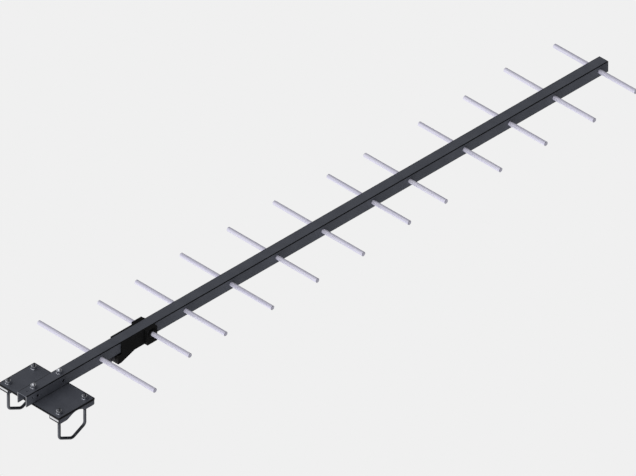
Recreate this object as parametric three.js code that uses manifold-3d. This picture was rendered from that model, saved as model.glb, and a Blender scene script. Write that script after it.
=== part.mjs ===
// A Yagi antenna: twelve rod elements through a square boom, which a plate, two saddles and two
// U-bolts hold to a mast. Millimetres, +Z up. The origin is the middle of the mast clamp, on the
// mast's axis. +X runs along the boom to the directors, and the mast lies along Y.

import * as THREE from 'three';
import { mergeVertices } from 'three/addons/utils/BufferGeometryUtils.js';
import Module from 'manifold-3d';

const wasm = await Module();
wasm.setup();

// ---- Driving dimensions ----

const gap = 0.3;                      // clearance between pieces that touch
const boomSide = 25.4;
const boomHalf = boomSide / 2;
const boomWall = 2;
const boomCorner = 0.8;
const boomAxisZ = 51.5;               // boom's axis above the mast's axis
const boomRearX = -66.9;
const boomLength = 1624;
const boomFrontX = boomRearX + boomLength;
const boomTopZ = boomAxisZ + boomHalf;
const boomUnderZ = boomAxisZ - boomHalf;
const rearNotchLength = 19;           // the underside is cut away at the rear end
const tieHoleRadius = 2.25;           // small holes near the rear end
const plugFlange = 1.6;
const plugDepth = 12;

const reflectorX = 138.4;             // from the mast's axis
const rodRadius = 4.7625;
const dipole = { x: reflectorX + 131, length: 255.6, feedGap: 10 };
const parasiticRods = [               // distance forward of the reflector, and length
  { name: 'reflector', from: 0, length: 325.5 },
  { name: 'director_1', from: 232, length: 250.7 },
  { name: 'director_2', from: 359, length: 256 },
  { name: 'director_3', from: 487, length: 250 },
  { name: 'director_4', from: 615, length: 250.5 },
  { name: 'director_5', from: 755, length: 228 },
  { name: 'director_6', from: 858, length: 228 },
  { name: 'director_7', from: 1011.5, length: 228 },
  { name: 'director_8', from: 1139.6, length: 228 },
  { name: 'director_9', from: 1265.7, length: 250 },
  { name: 'director_10', from: 1395.2, length: 228 },
];
const rodScrew = { shank: 2, head: 3.8, headHeight: 2.4 };

const plateLength = 100.7;            // along the boom
const plateWidth = 170.3;             // along the mast
const plateThickness = 3;
const plateCorner = 1.5;
const plateUnderZ = boomUnderZ - plateThickness;

const boltRadius = 3.175;             // quarter-inch bolts throughout
const boltHoleRadius = boltRadius + 0.4;
const boltX = 35.05;                  // bolt and U-bolt legs, each side of the mast's axis
const hexAcrossFlats = 11.1;
const nutHeight = 5.6;
const washer = { radius: 6.4, height: 1.2 };
const boltHeadHeight = 4.2;
const boltStud = 3.6;                 // thread left above a tightened nut

const clampY = 71;                    // plane of each U-bolt and saddle
const uBoltCornerZ = -21.5;           // where the leg's line meets the bottom run's
const uBoltLowestZ = -38.7;
const uBoltCornerRadius = 9.5;
const uBoltVertexRadius = 13;
const uBoltStud = 4.5;
const saddle = { length: 97, width: 27.6, depth: 11.3, notchHalf: 25.7, notchDepth: 9.6 };

const housingWall = 2;
const housingOuterY = 15.7;
const housingSplit = 0.15;            // each shell stops short of the middle by this much
const bossHalf = 14;                  // along the boom, each side of the dipole
const bossUnderZ = boomAxisZ - 22.7;
const bossOuterY = 22;
const bush = { radius: 7.2, innerY: 10.2, outerY: 23.4, collarRadius: 8.8, collarFromY: 22 };
const housingScrews = [
  { x: reflectorX + 69, z: boomAxisZ - 22 },
  { x: reflectorX + 139, z: boomAxisZ - 18.2 },
];
const housingScrew = { shank: 1.4, post: 3.2, head: 2.9, headHeight: 1.8 };

const connectorZ = boomAxisZ - 22.5;
const connectorMouthX = reflectorX + 30;
const housingRearX = reflectorX + 43;
const connectorBore = 4.4;
const board = { fromX: reflectorX + 60, toX: reflectorX + 112, halfY: 11, thickness: 1.6 };
const boardUnderZ = boomUnderZ - 3.9;
const boardTopZ = boardUnderZ + board.thickness;

// ---- Finishes ----

const finish = (color, roughness, metalness) =>
  new THREE.MeshStandardMaterial({ color, roughness, metalness });
const graphiteCoat = finish(0x3c3f46, 0.5, 0.2);
const rodAluminium = finish(0xe6e6f4, 0.35, 0.6);
const steel = finish(0x8d9096, 0.3, 1);
const blackPlastic = finish(0x141414, 0.6, 0);
const darkMetal = finish(0x2a2a2c, 0.35, 0.9);
const whitePlastic = finish(0xf0eee8, 0.5, 0);
const copper = finish(0xb8733f, 0.35, 1);
const laminate = finish(0x2c5d3a, 0.5, 0);
const gold = finish(0xc9a04a, 0.3, 1);
const rubber = finish(0x1b1b1b, 0.9, 0);

// ---- Shapes ----

const model = new THREE.Group();

function addPiece(name, geometry, material) {
  const mesh = new THREE.Mesh(geometry, material);
  mesh.name = name;
  model.add(mesh);
}

// A closed geometry as a solid that can be cut or joined, and back again.
function solid(geometry) {
  const bare = geometry.clone();
  bare.deleteAttribute('normal');
  bare.deleteAttribute('uv');
  const merged = mergeVertices(bare, 1e-4);
  return new wasm.Manifold(new wasm.Mesh({
    numProp: 3,
    vertProperties: new Float32Array(merged.attributes.position.array),
    triVerts: new Uint32Array(merged.index.array),
  }));
}

function geometryOf(manifold) {
  const mesh = manifold.getMesh();
  const geometry = new THREE.BufferGeometry();
  geometry.setAttribute('position', new THREE.BufferAttribute(mesh.vertProperties, 3));
  geometry.setIndex(new THREE.BufferAttribute(mesh.triVerts, 1));
  return geometry;
}

function box(fromX, toX, fromY, toY, fromZ, toZ) {
  const geometry = new THREE.BoxGeometry(toX - fromX, toY - fromY, toZ - fromZ);
  return geometry.translate((fromX + toX) / 2, (fromY + toY) / 2, (fromZ + toZ) / 2);
}

function rodAlongX(radius, fromX, toX, y, z, sides = 20) {
  const geometry = new THREE.CylinderGeometry(radius, radius, toX - fromX, sides);
  return geometry.rotateZ(-Math.PI / 2).translate((fromX + toX) / 2, y, z);
}

function rodAlongY(radius, fromY, toY, x, z, sides = 20) {
  const geometry = new THREE.CylinderGeometry(radius, radius, toY - fromY, sides);
  return geometry.translate(x, (fromY + toY) / 2, z);
}

function rodAlongZ(radius, fromZ, toZ, x, y, sides = 12) {
  const geometry = new THREE.CylinderGeometry(radius, radius, toZ - fromZ, sides);
  return geometry.rotateX(Math.PI / 2).translate(x, y, (fromZ + toZ) / 2);
}

// A profile of [radius, distance] points turned about an axis that runs along X or Z.
function turnedAlongX(profile, fromX, y, z, sides = 20) {
  const points = profile.map(([radius, along]) => new THREE.Vector2(radius, along));
  return new THREE.LatheGeometry(points, sides).rotateZ(-Math.PI / 2).translate(fromX, y, z);
}

function turnedAlongZ(profile, x, y, fromZ, sides = 8) {
  const points = profile.map(([radius, along]) => new THREE.Vector2(radius, along));
  return new THREE.LatheGeometry(points, sides).rotateX(Math.PI / 2).translate(x, y, fromZ);
}

function circlePath(x, y, radius) {
  return new THREE.Path().absarc(x, y, radius, 0, 2 * Math.PI, true);
}

function roundedRectangle(width, height, radius) {
  const x = width / 2 - radius;
  const y = height / 2 - radius;
  const quarter = Math.PI / 2;
  return new THREE.Shape()
    .absarc(x, y, radius, 0, quarter, false)
    .absarc(-x, y, radius, quarter, 2 * quarter, false)
    .absarc(-x, -y, radius, 2 * quarter, 3 * quarter, false)
    .absarc(x, -y, radius, 3 * quarter, 4 * quarter, false);
}

function rectanglePath(width, height) {
  const x = width / 2;
  const y = height / 2;
  return new THREE.Path().moveTo(-x, -y).lineTo(-x, y).lineTo(x, y).lineTo(x, -y).closePath();
}

function hexagon(acrossFlats) {
  const corners = [];
  for (let i = 0; i < 6; i += 1) {
    const angle = (i * Math.PI) / 3;
    const radius = acrossFlats / Math.sqrt(3);
    corners.push(new THREE.Vector2(radius * Math.cos(angle), radius * Math.sin(angle)));
  }
  return new THREE.Shape(corners);
}

// A flat outline drawn in X and Y, given a thickness upwards from fromZ.
function plateOf(shape, fromZ, thickness, curveSegments = 8) {
  const options = { depth: thickness, bevelEnabled: false, curveSegments };
  return new THREE.ExtrudeGeometry(shape, options).translate(0, 0, fromZ);
}

// An outline drawn in X and Z, given a thickness along Y from fromY to toY.
function slabOf(shape, fromY, toY, curveSegments = 8) {
  const options = { depth: toY - fromY, bevelEnabled: false, curveSegments };
  return new THREE.ExtrudeGeometry(shape, options).rotateX(Math.PI / 2).translate(0, toY, 0);
}

// ---- Boom ----
// Square tube. Its section is drawn flat, drawn out to length and laid along X, then drilled.

function tubeAlongX(section, fromX, length, curveSegments) {
  const options = { depth: length, bevelEnabled: false, curveSegments };
  return new THREE.ExtrudeGeometry(section, options)
    .rotateY(Math.PI / 2)
    .translate(fromX, 0, boomAxisZ);
}

const boomSection = roundedRectangle(boomSide, boomSide, boomCorner);
boomSection.holes.push(rectanglePath(boomSide - 2 * boomWall, boomSide - 2 * boomWall));
let boomTube = solid(tubeAlongX(boomSection, boomRearX, boomLength, 1));

const acrossBoom = boomHalf + 1;
for (const rod of parasiticRods) {
  const x = reflectorX + rod.from;
  const rodHole = rodAlongY(rodRadius + gap, -acrossBoom, acrossBoom, x, boomAxisZ, 12);
  const screwHole = rodAlongZ(rodScrew.shank + gap, boomUnderZ - 1, boomAxisZ, x, 0, 8);
  boomTube = boomTube.subtract(solid(rodHole)).subtract(solid(screwHole));
}
for (const x of [-boltX, boltX]) {
  const upright = rodAlongZ(boltHoleRadius, boomUnderZ - 1, boomTopZ + 1, x, 0);
  const sideways = rodAlongY(boltHoleRadius, -acrossBoom, acrossBoom, x, boomAxisZ);
  boomTube = boomTube.subtract(solid(upright)).subtract(solid(sideways));
}
const dipoleHole = rodAlongY(bush.radius + gap, -acrossBoom, acrossBoom, dipole.x, boomAxisZ);
const strapSlot = box(dipole.x - 4, dipole.x + 4, -10.7, 10.7, boomUnderZ - 1, boomAxisZ - 8);
const rearNotch = box(
  boomRearX - 1, boomRearX + rearNotchLength,
  boomWall - boomHalf, boomHalf - boomWall,
  boomUnderZ - 1, boomUnderZ + boomWall + 1,
);
const topTieHole = rodAlongZ(tieHoleRadius, boomAxisZ, boomTopZ + 1, -52, 0, 10);
const sideTieHole = rodAlongY(tieHoleRadius, -acrossBoom, acrossBoom, -49, boomAxisZ + 2, 10);
for (const cut of [dipoleHole, strapSlot, rearNotch, topTieHole, sideTieHole]) {
  boomTube = boomTube.subtract(solid(cut));
}
addPiece('boom', geometryOf(boomTube), graphiteCoat);

// Push-in plug that closes the front end: a flange with a square sleeve behind it.
const plugOuter = boomSide - 2 * boomWall - 2 * gap;
const plugSleeve = roundedRectangle(plugOuter, plugOuter, boomCorner);
plugSleeve.holes.push(rectanglePath(plugOuter - 3.2, plugOuter - 3.2));
const plugFace = roundedRectangle(boomSide, boomSide, boomCorner);
const frontPlug = solid(tubeAlongX(plugFace, boomFrontX, plugFlange, 1))
  .add(solid(tubeAlongX(plugSleeve, boomFrontX - plugDepth, plugDepth + 0.5, 1)));
addPiece('boom_front_plug', geometryOf(frontPlug), blackPlastic);

// ---- Reflector, directors and their screws ----
// Each rod lies across the boom, and a screw from below bears on it.

for (const rod of parasiticRods) {
  const x = reflectorX + rod.from;
  const half = rod.length / 2;
  addPiece(rod.name, rodAlongY(rodRadius, -half, half, x, boomAxisZ), rodAluminium);
  const tip = boomHalf + rodScrew.headHeight - rodRadius - gap;
  const profile = [
    [0, 0], [rodScrew.head * 0.8, 0], [rodScrew.head, rodScrew.headHeight * 0.45],
    [rodScrew.head, rodScrew.headHeight], [rodScrew.shank, rodScrew.headHeight],
    [rodScrew.shank, tip], [0, tip],
  ];
  const headZ = boomUnderZ - rodScrew.headHeight;
  addPiece(`${rod.name}_screw`, turnedAlongZ(profile, x, 0, headZ), steel);
}

// ---- Mount plate, boom bolts and U-bolts ----

const plateOutline = roundedRectangle(plateLength, plateWidth, plateCorner);
for (const x of [-boltX, boltX]) {
  for (const y of [-clampY, 0, clampY]) {
    plateOutline.holes.push(circlePath(x, y, boltHoleRadius));
  }
}
addPiece('mount_plate', plateOf(plateOutline, plateUnderZ, plateThickness, 6), graphiteCoat);

const ring = (outline, x, y, fromZ, height) => {
  outline.holes.push(circlePath(0, 0, boltRadius + gap));
  return plateOf(outline, fromZ, height, 6).translate(x, y, 0);
};

// A washer and a nut on a thread that stands up through a face at faceZ.
function addNutAndWasher(name, x, y, faceZ) {
  const disc = new THREE.Shape().absarc(0, 0, washer.radius, 0, 2 * Math.PI, false);
  addPiece(`${name}_washer`, ring(disc, x, y, faceZ, washer.height), steel);
  const nutZ = faceZ + washer.height;
  addPiece(`${name}_nut`, ring(hexagon(hexAcrossFlats), x, y, nutZ, nutHeight), steel);
}

const ends = [['rear', -boltX], ['front', boltX]];
for (const [end, x] of ends) {
  const tipZ = boomTopZ + washer.height + nutHeight + boltStud;
  const headTopZ = plateUnderZ;
  const head = plateOf(hexagon(hexAcrossFlats), headTopZ - boltHeadHeight, boltHeadHeight)
    .translate(x, 0, 0);
  const bolt = solid(head).add(solid(rodAlongZ(boltRadius, headTopZ - 1, tipZ, x, 0)));
  addPiece(`boom_bolt_${end}`, geometryOf(bolt), steel);
  addNutAndWasher(`boom_bolt_${end}`, x, 0, boomTopZ);
}

// The U-bolt's centre line in X and Z: two upright legs and a shallow V, with bends between.
// A bend of radius r between two runs that turn by an angle starts r * tan(angle / 2) before
// the corner, and its middle lies on the side that the rod turns to.
function bentLine(corners) {
  const path = new THREE.Path().moveTo(corners[0].x, corners[0].z);
  for (let i = 1; i < corners.length - 1; i += 1) {
    const corner = new THREE.Vector2(corners[i].x, corners[i].z);
    const before = new THREE.Vector2(corners[i - 1].x, corners[i - 1].z).sub(corner).normalize();
    const after = new THREE.Vector2(corners[i + 1].x, corners[i + 1].z).sub(corner).normalize();
    const halfOpening = before.angleTo(after) / 2;
    const radius = corners[i].radius;
    const setback = radius / Math.tan(halfOpening);
    const start = corner.clone().addScaledVector(before, setback);
    const end = corner.clone().addScaledVector(after, setback);
    const inward = before.clone().add(after).normalize();
    const middle = corner.clone().addScaledVector(inward, radius / Math.sin(halfOpening));
    const startAngle = Math.atan2(start.y - middle.y, start.x - middle.x);
    const endAngle = Math.atan2(end.y - middle.y, end.x - middle.x);
    path.lineTo(start.x, start.y);
    path.absarc(middle.x, middle.y, radius, startAngle, endAngle, false);
  }
  const last = corners[corners.length - 1];
  return path.lineTo(last.x, last.z);
}

class LineInUprightPlane extends THREE.Curve {
  constructor(flat, y) {
    super();
    this.flat = flat;
    this.y = y;
  }

  getPoint(t) {
    const point = this.flat.getPoint(t);
    return new THREE.Vector3(point.x, this.y, point.y);
  }
}

const uBoltTipZ = boomUnderZ + washer.height + nutHeight + uBoltStud;
const uBoltLine = bentLine([
  { x: -boltX, z: uBoltTipZ },
  { x: -boltX, z: uBoltCornerZ, radius: uBoltCornerRadius },
  { x: 0, z: uBoltLowestZ, radius: uBoltVertexRadius },
  { x: boltX, z: uBoltCornerZ, radius: uBoltCornerRadius },
  { x: boltX, z: uBoltTipZ },
]);
const rodSection = new THREE.Shape().absarc(0, 0, boltRadius, 0, 2 * Math.PI, false);

// The saddle's outline in X and Z, hanging from the plate: lobes at both ends and between
// them a notch that the mast beds in, with eased corners.
function saddleOutline() {
  const half = saddle.length / 2;
  const topZ = plateUnderZ - 0.05;
  const lowZ = topZ - saddle.depth;
  const apexZ = lowZ + saddle.notchDepth;
  const ease = 3;
  const outline = new THREE.Shape().moveTo(-half, topZ).lineTo(-half, lowZ + ease);
  outline.quadraticCurveTo(-half, lowZ, ease - half, lowZ);
  outline.lineTo(-saddle.notchHalf - ease, lowZ);
  outline.bezierCurveTo(-saddle.notchHalf + 4, lowZ, -13, apexZ, 0, apexZ);
  outline.bezierCurveTo(13, apexZ, saddle.notchHalf - 4, lowZ, saddle.notchHalf + ease, lowZ);
  outline.lineTo(half - ease, lowZ);
  outline.quadraticCurveTo(half, lowZ, half, lowZ + ease);
  return outline.lineTo(half, topZ).closePath();
}

const sides = [['left', 1], ['right', -1]];
for (const [side, sign] of sides) {
  const y = sign * clampY;
  const line = new LineInUprightPlane(uBoltLine, y);
  const options = { steps: 56, extrudePath: line, curveSegments: 4 };
  addPiece(`u_bolt_${side}`, new THREE.ExtrudeGeometry(rodSection, options), steel);
  for (const [end, x] of ends) {
    addNutAndWasher(`u_bolt_${side}_${end}`, x, y, boomUnderZ);
  }
  const halfWidth = saddle.width / 2;
  let block = solid(slabOf(saddleOutline(), y - halfWidth, y + halfWidth, 6));
  for (const x of [-boltX, boltX]) {
    const legHole = rodAlongZ(boltHoleRadius, plateUnderZ - 20, plateUnderZ + 1, x, y);
    block = block.subtract(solid(legHole));
  }
  addPiece(`saddle_${side}`, geometryOf(block), graphiteCoat);
}

// ---- Driven dipole and its insulating bushes ----

for (const [side, sign] of sides) {
  const span = (near, far) => [Math.min(sign * near, sign * far), Math.max(sign * near, sign * far)];
  const [rodFrom, rodTo] = span(dipole.feedGap / 2, dipole.length / 2);
  addPiece(`dipole_${side}`, rodAlongY(rodRadius, rodFrom, rodTo, dipole.x, boomAxisZ), rodAluminium);
  const [sleeveFrom, sleeveTo] = span(bush.innerY, bush.collarFromY + 0.5);
  const [collarFrom, collarTo] = span(bush.collarFromY, bush.outerY);
  const [boreFrom, boreTo] = span(bush.innerY - 1, bush.outerY + 1);
  const bushSolid = solid(rodAlongY(bush.radius, sleeveFrom, sleeveTo, dipole.x, boomAxisZ))
    .add(solid(rodAlongY(bush.collarRadius, collarFrom, collarTo, dipole.x, boomAxisZ)))
    .subtract(solid(rodAlongY(rodRadius + gap, boreFrom, boreTo, dipole.x, boomAxisZ)));
  addPiece(`dipole_bush_${side}`, geometryOf(bushSolid), blackPlastic);
}

// ---- Feed housing ----
// Two moulded shells meet under the boom. Each has a side wall against the boom, half of the
// trough below it, a square boss about the dipole, and posts that the screws pull together. The
// front screw's head lies in a pocket in the left boss.

function housingOutline(inset) {
  const x = (along) => reflectorX + along;
  const z = (below) => boomAxisZ - below;
  return new THREE.Shape()
    .moveTo(x(43 + inset), z(boomHalf))
    .lineTo(x(43 + inset), z(33.5 - inset))
    .lineTo(x(52), z(33.5 - inset))
    .lineTo(x(89), z(20.7 - inset))
    .lineTo(x(116), z(20.7 - inset))
    .lineTo(x(121), z(22.7 - inset))
    .lineTo(x(145 - inset), z(22.7 - inset))
    .lineTo(x(145 - inset), z(boomHalf))
    .closePath();
}

function housingShell(sign) {
  const slab = (shape, near, far) => solid(sign > 0
    ? slabOf(shape, near, far) : slabOf(shape, -far, -near));
  const bar = (radius, near, far, x, z, count) => solid(sign > 0
    ? rodAlongY(radius, near, far, x, z, count) : rodAlongY(radius, -far, -near, x, z, count));
  const wallOutline = new THREE.Shape()
    .moveTo(reflectorX + 53, boomAxisZ - boomHalf - 4)
    .lineTo(reflectorX + 145, boomAxisZ - boomHalf - 4)
    .lineTo(reflectorX + 145, boomTopZ)
    .lineTo(reflectorX + 53, boomTopZ)
    .closePath();
  const bossOutline = new THREE.Shape()
    .moveTo(dipole.x - bossHalf, bossUnderZ)
    .lineTo(dipole.x + bossHalf, bossUnderZ)
    .lineTo(dipole.x + bossHalf, boomTopZ)
    .lineTo(dipole.x - bossHalf, boomTopZ)
    .closePath();
  const inner = housingOuterY - housingWall;
  let shell = slab(housingOutline(0), housingSplit, housingOuterY)
    .subtract(slab(housingOutline(housingWall), 0, inner))
    .add(slab(wallOutline, boomHalf + gap, housingOuterY))
    .add(slab(bossOutline, boomHalf + gap, bossOuterY));
  for (const place of housingScrews) {
    shell = shell.add(bar(housingScrew.post, housingSplit, inner + 0.5, place.x, place.z, 10));
  }
  const boomSpace = box(
    reflectorX + 40, reflectorX + 160,
    -boomHalf - gap, boomHalf + gap,
    boomUnderZ - gap, boomTopZ + 5,
  );
  const neckHole = rodAlongX(6.9, housingRearX - 1, housingRearX + housingWall + 1, 0, connectorZ);
  const bushHole = bar(bush.radius + gap, 10, bossOuterY + 1, dipole.x, boomAxisZ, 20);
  for (const cut of [solid(boomSpace), solid(neckHole), bushHole]) {
    shell = shell.subtract(cut);
  }
  for (const place of housingScrews) {
    const reach = sign > 0 ? housingOuterY + 1 : inner;
    shell = shell.subtract(bar(housingScrew.shank + gap, -1, reach, place.x, place.z, 8));
    if (sign > 0 && place.x > dipole.x) {
      const headRoom = housingScrew.head + gap;
      shell = shell.subtract(bar(headRoom, housingOuterY, bossOuterY + 1, place.x, place.z, 12));
    }
  }
  return shell;
}

addPiece('feed_housing_left', geometryOf(housingShell(1)), blackPlastic);
addPiece('feed_housing_right', geometryOf(housingShell(-1)), blackPlastic);

housingScrews.forEach((place, index) => {
  const headFrom = housingOuterY;
  const headTo = headFrom + housingScrew.headHeight;
  const tip = -housingOuterY + housingWall + 1;
  const screw = solid(rodAlongY(housingScrew.shank, tip, headFrom + 0.5, place.x, place.z, 8))
    .add(solid(rodAlongY(housingScrew.head, headFrom, headTo, place.x, place.z, 12)));
  addPiece(`housing_screw_${index === 0 ? 'rear' : 'front'}`, geometryOf(screw), steel);
});

// ---- Coaxial connector and feed board ----
// The connector's neck sits in the hole that the two shells close around.

const connectorProfile = [
  [connectorBore, 0], [7.3, 0], [7.95, 0.8], [7.95, 12.7], [6.6, 12.7], [6.6, 16.3],
  [8.6, 16.3], [8.6, 19.3], [5.6, 19.3], [5.6, 25], [connectorBore, 25], [connectorBore, 0],
];
addPiece('connector_body',
  turnedAlongX(connectorProfile, connectorMouthX, 0, connectorZ), darkMetal);
const gasketProfile = [[6.8, 0], [8.5, 0], [8.5, 1], [6.8, 1], [6.8, 0]];
addPiece('connector_gasket',
  turnedAlongX(gasketProfile, housingRearX + housingWall + 0.15, 0, connectorZ), rubber);
const insulatorProfile = [[1.7, 7], [4.1, 7], [4.1, 24.5], [1.7, 24.5], [1.7, 7]];
addPiece('connector_insulator',
  turnedAlongX(insulatorProfile, connectorMouthX, 0, connectorZ), whitePlastic);
const contactProfile = [
  [0, 9], [0.8, 9], [0.8, 2.5], [1.5, 2.5], [1.5, 34], [0, 34],
];
const contactTab = box(
  connectorMouthX + 31, connectorMouthX + 33.5, -1.2, 1.2, connectorZ, boardUnderZ - 0.1,
);
const contact = solid(turnedAlongX(contactProfile, connectorMouthX, 0, connectorZ, 10))
  .add(solid(contactTab));
addPiece('connector_contact', geometryOf(contact), gold);

addPiece('feed_board',
  box(board.fromX, board.toX, -board.halfY, board.halfY, boardUnderZ, boardTopZ), laminate);

// Each strap runs forward on the board, then up through the slot in the boom to its rod.
const strapTopZ = boomAxisZ - rodRadius - gap;
const strapOutline = new THREE.Shape()
  .moveTo(board.toX - 14, boardTopZ)
  .lineTo(dipole.x + 0.4, boardTopZ)
  .lineTo(dipole.x + 0.4, strapTopZ)
  .lineTo(dipole.x - 0.4, strapTopZ)
  .lineTo(dipole.x - 0.4, boardTopZ + 0.8)
  .lineTo(board.toX - 14, boardTopZ + 0.8)
  .closePath();
addPiece('feed_strap_left', slabOf(strapOutline, 5.2, 9.8), copper);
addPiece('feed_strap_right', slabOf(strapOutline, -9.8, -5.2), copper);

export default model;
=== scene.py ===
import math

import bmesh
import bpy
import numpy as np
from mathutils import Matrix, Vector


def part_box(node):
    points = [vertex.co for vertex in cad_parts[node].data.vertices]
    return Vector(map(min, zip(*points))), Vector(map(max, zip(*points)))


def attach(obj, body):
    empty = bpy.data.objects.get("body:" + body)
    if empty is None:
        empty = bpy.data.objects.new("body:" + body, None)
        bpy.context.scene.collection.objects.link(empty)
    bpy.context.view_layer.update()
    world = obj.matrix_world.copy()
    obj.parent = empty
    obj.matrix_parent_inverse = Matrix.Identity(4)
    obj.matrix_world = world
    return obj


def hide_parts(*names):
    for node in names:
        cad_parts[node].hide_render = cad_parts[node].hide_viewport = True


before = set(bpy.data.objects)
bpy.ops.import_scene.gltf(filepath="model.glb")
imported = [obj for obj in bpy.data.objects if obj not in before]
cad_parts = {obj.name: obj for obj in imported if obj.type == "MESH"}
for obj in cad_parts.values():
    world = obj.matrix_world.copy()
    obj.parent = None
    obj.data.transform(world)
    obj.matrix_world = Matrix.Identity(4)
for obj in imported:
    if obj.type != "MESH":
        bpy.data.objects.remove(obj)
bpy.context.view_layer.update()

# ---- Boom ----
# Extruded square aluminium tube with a baked graphite powder coat. Its rod, bolt and feed holes
# are drilled before coating, and its rear end is sawn after it, so the walls' ends are bare, and
# their light bare-metal colour is also a painted highlight on that end.

MM = 0.001


def span(node):
    """Lowest and highest corner of a CAD node at rest, in millimetres."""
    low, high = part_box(node)
    return np.array(low) / MM, np.array(high) / MM


def middle(node):
    """The point halfway between a CAD node's lowest and highest corners, in millimetres."""
    low, high = span(node)
    return (low + high) / 2


def grid_faces(rows, columns, wrap_rows=False):
    """Each quad joins a grid point, the next along its row, and the same two of the next row.
    Every row closes on itself, and a wrapped grid joins its last row to its first."""
    row = np.arange(rows if wrap_rows else rows - 1)[:, None]
    column = np.arange(columns)[None, :]
    next_row = (row + 1) % rows
    next_column = (column + 1) % columns
    corners = np.broadcast_arrays(
        row * columns + column,
        row * columns + next_column,
        next_row * columns + next_column,
        next_row * columns + column,
    )
    return np.stack(corners, axis=-1).reshape(-1, 4)


def tidy_mesh(mesh, crease_degrees=40.0):
    """Merges the points that meet at seams and poles, turns every face outwards, and shades
    smooth apart from edges that turn by more than the crease angle."""
    work = bmesh.new()
    work.from_mesh(mesh)
    bmesh.ops.remove_doubles(work, verts=work.verts, dist=1e-7)
    bmesh.ops.recalc_face_normals(work, faces=work.faces)
    work.to_mesh(mesh)
    work.free()
    mesh.shade_smooth()
    mesh.set_sharp_from_angle(angle=math.radians(crease_degrees))
    return mesh


def skin(name, points, wrap_rows=False, radial=None):
    """A mesh of quads over a grid of points (rows, columns, 3) in millimetres. The optional
    radial array puts each point's distance from its axis into an attribute, in metres."""
    rows, columns = points.shape[:2]
    mesh = bpy.data.meshes.new(name)
    faces = grid_faces(rows, columns, wrap_rows)
    mesh.from_pydata((points.reshape(-1, 3) * MM).tolist(), [], faces.tolist())
    if radial is not None:
        values = np.broadcast_to(radial, (rows, columns)).astype(np.float32) * MM
        mesh.attributes.new("radial", "FLOAT", "POINT").data.foreach_set("value", values.ravel())
    return tidy_mesh(mesh)


def rounded_rectangle(half_p, half_q, radius, corner_steps=6):
    """Points round a rectangle of the given half sizes: each corner's centre, moved out along
    the radius at even angles through its quarter turn."""
    angle = np.linspace(0, np.pi / 2, corner_steps + 1)
    turn = np.arange(4)[:, None] * np.pi / 2 + angle[None, :]
    sign_p = np.array([1, -1, -1, 1])[:, None]
    sign_q = np.array([1, 1, -1, -1])[:, None]
    p = sign_p * (half_p - radius) + radius * np.cos(turn)
    q = sign_q * (half_q - radius) + radius * np.sin(turn)
    return np.stack([p.ravel(), q.ravel()], axis=-1)


def circle(centre_p, centre_q, radius, sides=48):
    """Points at even angles round a circle."""
    angle = np.arange(sides) * 2 * np.pi / sides
    return np.stack([centre_p + radius * np.cos(angle), centre_q + radius * np.sin(angle)], axis=-1)


def lay_along(axis, p, q, along):
    """Puts flat coordinates p, q and a distance along an axis into X, Y, Z order. Along X the
    flat pair is (y, z), along Y it is (x, z), and along Z it is (x, y)."""
    order = {"X": (along, p, q), "Y": (p, along, q), "Z": (p, q, along)}[axis]
    return np.stack(np.broadcast_arrays(*order), axis=-1)


def drawn_out(outline, near, far, axis):
    """A closed outline given a length along an axis: its points at both ends, quads between
    them, and one flat face over each end."""
    count = len(outline)
    flat = np.tile(outline, (2, 1))
    points = lay_along(axis, flat[:, 0], flat[:, 1], np.repeat([near, far], count))
    faces = grid_faces(2, count).tolist()
    faces += [list(range(count)), list(range(count, 2 * count))]
    mesh = bpy.data.meshes.new("solid")
    mesh.from_pydata((points * MM).tolist(), [], faces)
    return tidy_mesh(mesh)


def joined(meshes):
    """One mesh holding the faces of several."""
    work = bmesh.new()
    for mesh in meshes:
        work.from_mesh(mesh)
        bpy.data.meshes.remove(mesh)
    whole = bpy.data.meshes.new("solid")
    work.to_mesh(whole)
    work.free()
    return whole


def combined(mesh, tools, operation):
    """The solid left after cutting the tool solids away from a mesh, or after joining them on.
    The tools don't overlap each other."""
    piece = bpy.data.objects.new("work", mesh)
    tool = bpy.data.objects.new("tool", joined(tools))
    for made in (piece, tool):
        bpy.context.scene.collection.objects.link(made)
    modifier = piece.modifiers.new("combine", "BOOLEAN")
    modifier.operation = operation
    modifier.solver = "EXACT"
    modifier.object = tool
    graph = bpy.context.evaluated_depsgraph_get()
    result = bpy.data.meshes.new_from_object(piece.evaluated_get(graph))
    for made in (piece, tool):
        data = made.data
        bpy.data.objects.remove(made)
        bpy.data.meshes.remove(data)
    return tidy_mesh(result)


def stand_for(node, mesh, material, body="antenna"):
    """Puts a finished mesh on its body in the place of a CAD node."""
    mesh.materials.clear()
    mesh.materials.append(material)
    piece = bpy.data.objects.new(f"{node}.fine", mesh)
    bpy.context.scene.collection.objects.link(piece)
    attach(piece, body)
    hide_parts(node)
    return piece


def ease_edges(piece, width, segments=2):
    """Rounds a piece's creased edges by a width in millimetres, and weights the normals by
    area, so that its flat faces stay flat to the eye."""
    bevel = piece.modifiers.new("eased edges", "BEVEL")
    bevel.width = width * MM
    bevel.segments = segments
    bevel.limit_method = "ANGLE"
    bevel.angle_limit = math.radians(40)
    bevel.use_clamp_overlap = True
    weighted = piece.modifiers.new("flat faces", "WEIGHTED_NORMAL")
    weighted.mode = "FACE_AREA"
    weighted.weight = 80
    weighted.keep_sharp = True


def add(tree, kind, inputs=None, **settings):
    """A new node. The settings are its own choices, and the inputs are values or sockets."""
    made = tree.nodes.new(kind)
    for key, value in settings.items():
        setattr(made, key, value)
    for key, value in (inputs or {}).items():
        if isinstance(value, bpy.types.NodeSocket):
            tree.links.new(value, made.inputs[key])
        else:
            made.inputs[key].default_value = value
    return made


def reckon(tree, operation, *values):
    """The value of one Math node, which does one operation on the values given."""
    return add(tree, "ShaderNodeMath", dict(enumerate(values)), operation=operation).outputs[0]


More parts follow.
